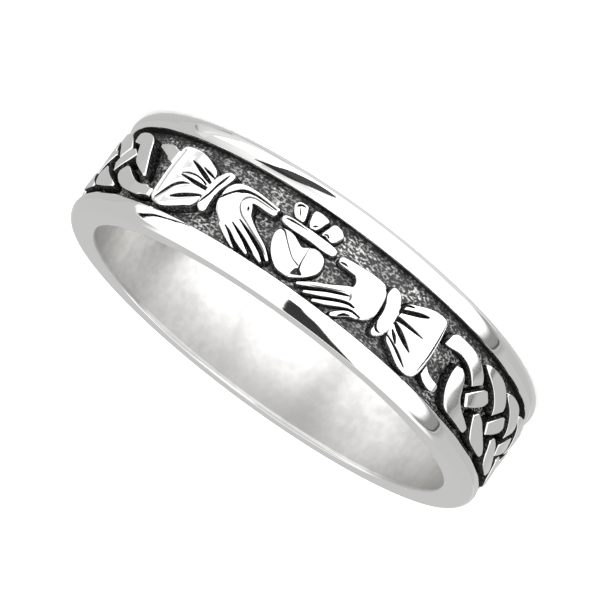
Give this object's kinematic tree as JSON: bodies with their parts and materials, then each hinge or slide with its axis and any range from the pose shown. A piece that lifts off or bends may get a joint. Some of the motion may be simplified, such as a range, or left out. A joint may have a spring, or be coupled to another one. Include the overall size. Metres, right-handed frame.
{
  "type": "claddagh ring",
  "caption": "Claddagh band ring in cast silver: hands hold a crowned heart between domed rails, with fan cuffs behind them and a flat plait round the back.",
  "frame": {"origin": "centre of the finger hole, on the flat rim that the ring lies on", "axes": "+Z along the finger hole, away from the surface it lies on; the heart faces -Y with its point towards +Z; +X is to the right of the heart with its crown down"},
  "size_m": [0.0222, 0.0222, 0.0055],
  "materials": {
    "silver": "polished sterling silver, darkened in the channel and between the strands, satin inside the hole"
  },
  "bodies": {
    "root": {"ring": "silver"}
  },
  "joints": []
}
